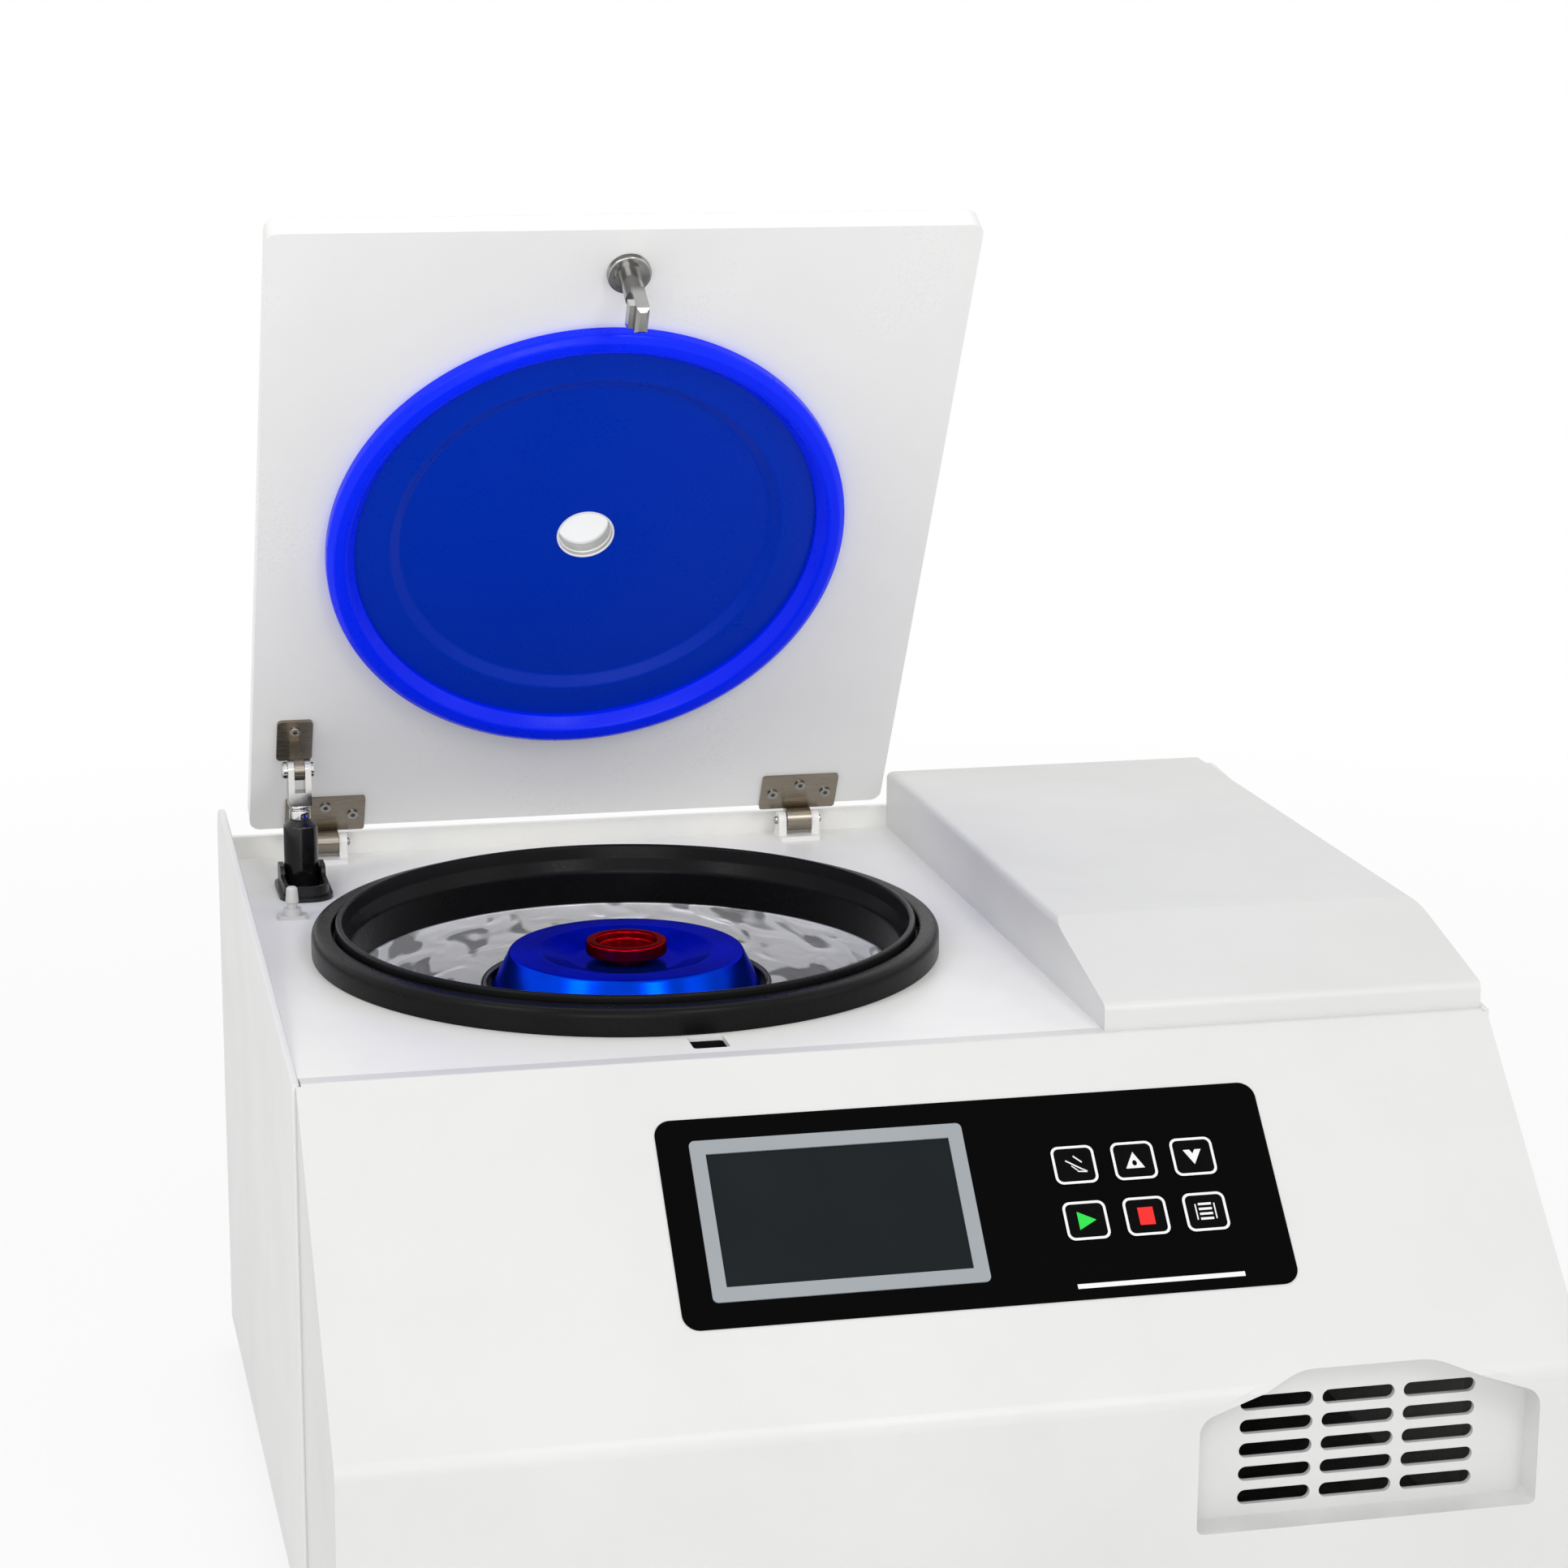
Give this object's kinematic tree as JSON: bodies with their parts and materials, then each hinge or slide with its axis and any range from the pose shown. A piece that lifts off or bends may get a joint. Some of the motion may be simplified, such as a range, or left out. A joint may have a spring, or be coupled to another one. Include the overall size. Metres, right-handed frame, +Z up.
{
  "type": "refrigerated centrifuge",
  "caption": "Cooled bench centrifuge: sloped control front, hinged lid held open over a gasketed steel chamber, tilted-bore rotor with screw-down lid.",
  "frame": {"origin": "middle of the box around the part at rest, on the floor under the feet", "axes": "+X to the machine's right, +Y to its rear, +Z up; the control front faces -Y and the lid stands open"},
  "size_m": [0.658, 0.629, 0.7504],
  "materials": {
    "bezel_grey": "fine texture",
    "board_green": "circuit board",
    "boot_black": "black plastic",
    "bowl_steel": "polished stainless",
    "cap_blue": "gloss blue anodised",
    "casing_plastic": "smooth white plastic",
    "casing_white": "satin white enamel",
    "chrome_bright": "bright chrome",
    "coil_copper": "copper coil",
    "cooling_black": "black enamel",
    "feet_grey": "moulded rubber",
    "fin_alloy": "thin fins",
    "foam_cream": "rigid foam",
    "gasket_black": "black rubber",
    "hinge_steel": "brushed stainless",
    "key_black": "gloss with printed rims",
    "knob_red": "satin red anodised",
    "lid_white": "smooth white enamel",
    "liner_blue": "satin blue enamel",
    "motor_grey": "cast and machined",
    "plate_black": "high gloss",
    "port_white": "white plastic",
    "rotor_black": "black anodised",
    "screen_dark": "dark display glass",
    "seal_blue": "bright blue silicone",
    "spring_black": "satin black",
    "steel_bright": "machined steel",
    "tray_zinc": "zinc plated",
    "window_clear": "clear"
  },
  "bodies": {
    "casing": {"base_tray": "tray_zinc", "rubber_feet": "feet_grey", "left_side_panel": "casing_white", "right_side_panel": "casing_white", "front_cover": "casing_plastic", "intake_grille": "casing_plastic", "rear_panel": "casing_white", "deck_plate": "casing_white", "deck_cover": "casing_plastic", "control_plate": "plate_black", "screen_bezel": "bezel_grey", "screen_glass": "screen_dark", "control_board": "board_green", "chamber_gasket": "gasket_black", "chamber_bowl": "bowl_steel", "evaporator_jacket": "coil_copper", "insulation_sleeve": "foam_cream", "motor_housing": "motor_grey", "motor_dampers": "feet_grey", "hinge_bracket_left": "casing_white", "hinge_bracket_right": "casing_white", "hinge_pins": "steel_bright", "spring_anchor": "tray_zinc", "spring_boot": "boot_black", "sensor_guide": "port_white", "lock_housing": "boot_black", "compressor": "cooling_black", "condenser": "fin_alloy", "power_inlet": "boot_black"},
    "lid": {"lid_shell": "lid_white", "lid_inner_panel": "lid_white", "lid_foam": "foam_cream", "liner_disc": "liner_blue", "lid_seal": "seal_blue", "sight_tube": "port_white", "sight_window": "window_clear", "striker_flange": "steel_bright", "striker_hook": "steel_bright", "hinge_leaf_left": "hinge_steel", "hinge_leaf_right": "hinge_steel", "lid_screws": "steel_bright", "spring_bracket": "hinge_steel", "spring_bolt": "chrome_bright"},
    "spring_barrel": {"spring_clevis": "chrome_bright", "spring_cylinder": "spring_black"},
    "spring_piston": {"spring_rod": "chrome_bright"},
    "rotor": {"drive_spindle": "steel_bright", "rotor_body": "rotor_black"},
    "rotor_cap": {"rotor_lid": "cap_blue"},
    "cap_knob": {"rotor_knob": "knob_red"},
    "lid_sensor": {"sensor_pin": "port_white"},
    "lid_latch": {"lock_latch": "steel_bright"},
    "cooling_fan": {"fan_rotor": "boot_black"},
    "power_switch": {"power_rocker": "boot_black"},
    "pulse_key": {"key_pulse": "key_black"},
    "up_key": {"key_up": "key_black"},
    "down_key": {"key_down": "key_black"},
    "start_key": {"key_start": "key_black"},
    "stop_key": {"key_stop": "key_black"},
    "menu_key": {"key_menu": "key_black"}
  },
  "joints": [
    {"name": "lid_hinge", "type": "hinge", "parent": "casing", "child": "lid", "pos_m": [0, 0.2935, 0.342], "axis": [1, 0, 0], "range_deg": [0, 60]},
    {"name": "spring_swing", "type": "hinge", "parent": "lid", "child": "spring_barrel", "pos_m": [-0.284, 0.23544, 0.40316], "axis": [1, 0, 0], "range_deg": [-55.36, 0.5]},
    {"name": "spring_stroke", "type": "slide", "parent": "spring_barrel", "child": "spring_piston", "axis": [0, 0.0381, 0.9993], "range_m": [-0.0005, 0.08128]},
    {"name": "rotor_spin", "type": "hinge", "parent": "casing", "child": "rotor", "pos_m": [-0.113, 0.0595, 0.3], "axis": [0, 0, 1], "continuous": true},
    {"name": "cap_lift", "type": "slide", "parent": "rotor", "child": "rotor_cap", "axis": [0, 0, 1], "range_m": [0, 0.006]},
    {"name": "knob_turn", "type": "hinge", "parent": "rotor_cap", "child": "cap_knob", "pos_m": [-0.113, 0.0595, 0.33], "axis": [0, 0, 1], "range_deg": [-5, 1445]},
    {"name": "sensor_press", "type": "slide", "parent": "casing", "child": "lid_sensor", "axis": [0, 0, -1], "range_m": [0, 0.003], "stiffness_N_per_m": 400, "springref_m": -0.001},
    {"name": "latch_slide", "type": "slide", "parent": "casing", "child": "lid_latch", "axis": [1, 0, 0], "range_m": [0, 0.005]},
    {"name": "fan_spin", "type": "hinge", "parent": "casing", "child": "cooling_fan", "pos_m": [0.216, 0, 0.108], "axis": [0, 1, 0], "continuous": true},
    {"name": "rocker_tilt", "type": "hinge", "parent": "casing", "child": "power_switch", "pos_m": [-0.219, 0.3065, 0.08], "axis": [1, 0, 0], "range_deg": [-12, 12]},
    {"name": "press_pulse", "type": "slide", "parent": "casing", "child": "pulse_key", "axis": [0, 0.7071, -0.7071], "range_m": [0, 0.0008], "stiffness_N_per_m": 1500, "springref_m": -0.0004},
    {"name": "press_up", "type": "slide", "parent": "casing", "child": "up_key", "axis": [0, 0.7071, -0.7071], "range_m": [0, 0.0008], "stiffness_N_per_m": 1500, "springref_m": -0.0004},
    {"name": "press_down", "type": "slide", "parent": "casing", "child": "down_key", "axis": [0, 0.7071, -0.7071], "range_m": [0, 0.0008], "stiffness_N_per_m": 1500, "springref_m": -0.0004},
    {"name": "press_start", "type": "slide", "parent": "casing", "child": "start_key", "axis": [0, 0.7071, -0.7071], "range_m": [0, 0.0008], "stiffness_N_per_m": 1500, "springref_m": -0.0004},
    {"name": "press_stop", "type": "slide", "parent": "casing", "child": "stop_key", "axis": [0, 0.7071, -0.7071], "range_m": [0, 0.0008], "stiffness_N_per_m": 1500, "springref_m": -0.0004},
    {"name": "press_menu", "type": "slide", "parent": "casing", "child": "menu_key", "axis": [0, 0.7071, -0.7071], "range_m": [0, 0.0008], "stiffness_N_per_m": 1500, "springref_m": -0.0004}
  ],
  "couplings": [
    {"joint": "spring_swing", "follows": "lid_hinge", "ratio": -0.91433},
    {"joint": "spring_stroke", "follows": "lid_hinge", "m_per_rad": 0.077141},
    {"joint": "knob_turn", "follows": "cap_lift", "rad_per_m": 4188.8}
  ]
}
